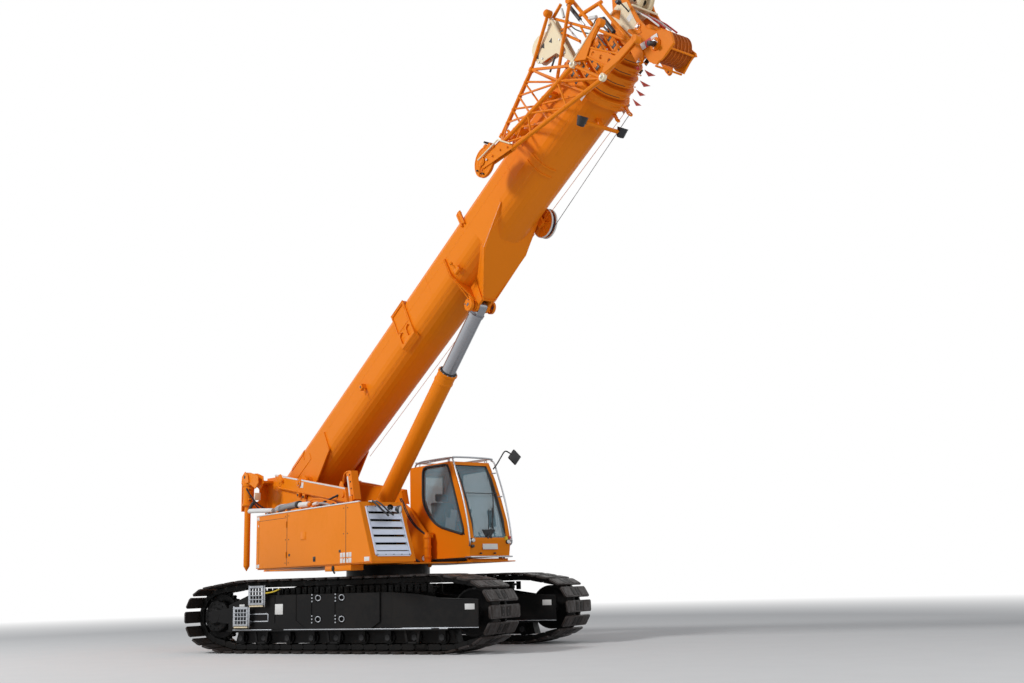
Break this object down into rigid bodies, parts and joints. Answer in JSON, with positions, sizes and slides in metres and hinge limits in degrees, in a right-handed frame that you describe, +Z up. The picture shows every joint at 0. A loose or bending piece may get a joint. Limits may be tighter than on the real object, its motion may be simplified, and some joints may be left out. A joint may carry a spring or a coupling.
{
  "type": "telescopic crawler crane",
  "caption": "Crawler crane with slewing platform, side cab, telescopic boom held by a lift cylinder, stowed lattice jib and multi-sheave boom head.",
  "frame": {"origin": "on the ground on the slewing axis", "axes": "+X forward along the tracks, +Y to the left, +Z up; the superstructure stands slewed to the right and the boom raised, as in the picture"},
  "size_m": [10.6607, 6.3762, 9.0011],
  "materials": {
    "orange_paint": "gloss",
    "black_paint": "satin",
    "track_steel": "worn",
    "grey_paint": "satin",
    "step_alu": "satin",
    "chrome_rod": "polished",
    "clear_glass": "clear",
    "seat_fabric": "woven",
    "ivory_plastic": "matte",
    "lamp_plastic": "satin"
  },
  "bodies": {
    "undercarriage": {"car_body": "black_paint", "slew_ring_lower": "black_paint", "track_frame_right": "black_paint", "track_frame_left": "black_paint", "track_right": "track_steel", "track_left": "track_steel", "sprockets": "black_paint", "idlers": "black_paint", "access_steps": "step_alu"},
    "superstructure": {"slew_ring_upper": "black_paint", "deck": "orange_paint", "cheeks": "orange_paint", "boom_pins": "grey_paint", "ballast_brackets": "orange_paint", "engine_hood": "orange_paint", "louvre_panel": "step_alu", "engine": "grey_paint", "tank_housing": "orange_paint", "hose_box": "orange_paint", "cab_base": "orange_paint"},
    "ballast_cylinder_right": {"ballast_rod_right": "orange_paint"},
    "ballast_cylinder_left": {"ballast_rod_left": "orange_paint"},
    "winch": {"hoist_drum": "grey_paint"},
    "cab": {"cab_shell": "orange_paint", "cab_glass": "clear_glass", "cab_seat": "seat_fabric", "cab_rails": "step_alu"},
    "door": {"cab_door": "orange_paint", "door_glass": "clear_glass"},
    "boom": {"boom_base": "orange_paint", "boom_brackets": "orange_paint", "spotlights": "lamp_plastic", "jib": "orange_paint"},
    "reel": {"cable_reel": "orange_paint"},
    "jib_sheave": {"jib_pulley": "orange_paint"},
    "section_1": {"tele_1": "orange_paint"},
    "section_2": {"tele_2": "orange_paint"},
    "section_3": {"tele_3": "orange_paint"},
    "section_4": {"tele_4": "orange_paint"},
    "section_5": {"tele_5": "orange_paint", "boom_head": "orange_paint"},
    "lower_sheaves": {"head_sheaves": "orange_paint"},
    "upper_sheaves": {"top_sheaves": "ivory_plastic"},
    "rod": {"lift_rod": "chrome_rod"},
    "barrel": {"lift_barrel": "orange_paint"}
  },
  "joints": [
    {"name": "slew", "type": "hinge", "parent": "undercarriage", "child": "superstructure", "pos_m": [0, 0, 1.2], "axis": [0, 0, 1], "continuous": true},
    {"name": "luff", "type": "hinge", "parent": "superstructure", "child": "boom", "pos_m": [-1.90477, 0.85045, 2.888], "axis": [-0.4077, -0.9131, 0], "range_deg": [-29.85, 50.15]},
    {"name": "rod_pin", "type": "hinge", "parent": "boom", "child": "rod", "pos_m": [2.58201, -1.15282, 5.23507], "axis": [-0.4077, -0.9131, 0], "range_deg": [-1.3, 2.1]},
    {"name": "cylinder_stroke", "type": "slide", "parent": "rod", "child": "barrel", "axis": [-0.6564, 0.2931, -0.6951], "range_m": [-0.88, 1.46]},
    {"name": "telescope_1", "type": "slide", "parent": "boom", "child": "section_1", "axis": [0.792, -0.3536, 0.4977], "range_m": [0, 8.1]},
    {"name": "telescope_2", "type": "slide", "parent": "section_1", "child": "section_2", "axis": [0.792, -0.3536, 0.4977], "range_m": [0, 8.1]},
    {"name": "telescope_3", "type": "slide", "parent": "section_2", "child": "section_3", "axis": [0.792, -0.3536, 0.4977], "range_m": [0, 8.1]},
    {"name": "telescope_4", "type": "slide", "parent": "section_3", "child": "section_4", "axis": [0.792, -0.3536, 0.4977], "range_m": [0, 8.1]},
    {"name": "telescope_5", "type": "slide", "parent": "section_4", "child": "section_5", "axis": [0.792, -0.3536, 0.4977], "range_m": [0, 8.1]},
    {"name": "lower_sheave_spin", "type": "hinge", "parent": "section_5", "child": "lower_sheaves", "pos_m": [6.58487, -2.94004, 7.76227], "axis": [-0.4077, -0.9131, 0], "continuous": true},
    {"name": "upper_sheave_spin", "type": "hinge", "parent": "section_5", "child": "upper_sheaves", "pos_m": [6.03507, -2.69456, 8.73112], "axis": [-0.4077, -0.9131, 0], "continuous": true},
    {"name": "reel_spin", "type": "hinge", "parent": "boom", "child": "reel", "pos_m": [3.75229, -1.12776, 6.38434], "axis": [-0.4077, -0.9131, 0], "continuous": true},
    {"name": "jib_sheave_spin", "type": "hinge", "parent": "boom", "child": "jib_sheave", "pos_m": [3.49309, -2.49049, 6.99393], "axis": [-0.4077, -0.9131, 0], "continuous": true},
    {"name": "winch_spin", "type": "hinge", "parent": "superstructure", "child": "winch", "pos_m": [-3.06808, 1.36985, 1.86], "axis": [-0.4077, -0.9131, 0], "continuous": true},
    {"name": "cab_tilt", "type": "hinge", "parent": "superstructure", "child": "cab", "pos_m": [0.12006, 1.04154, 1.446], "axis": [-0.4077, -0.9131, 0], "range_deg": [0, 20]},
    {"name": "door_slide", "type": "slide", "parent": "cab", "child": "door", "axis": [-0.9131, 0.4077, 0], "range_m": [0, 0.6]},
    {"name": "ballast_lift_right", "type": "slide", "parent": "superstructure", "child": "ballast_cylinder_right", "axis": [0, 0, 1], "range_m": [0, 0.33]},
    {"name": "ballast_lift_left", "type": "slide", "parent": "superstructure", "child": "ballast_cylinder_left", "axis": [0, 0, 1], "range_m": [0, 0.33]}
  ],
  "couplings": [
    {"joint": "rod_pin", "follows": "luff", "ratio": 0.04},
    {"joint": "cylinder_stroke", "follows": "luff", "m_per_rad": 1.65}
  ]
}
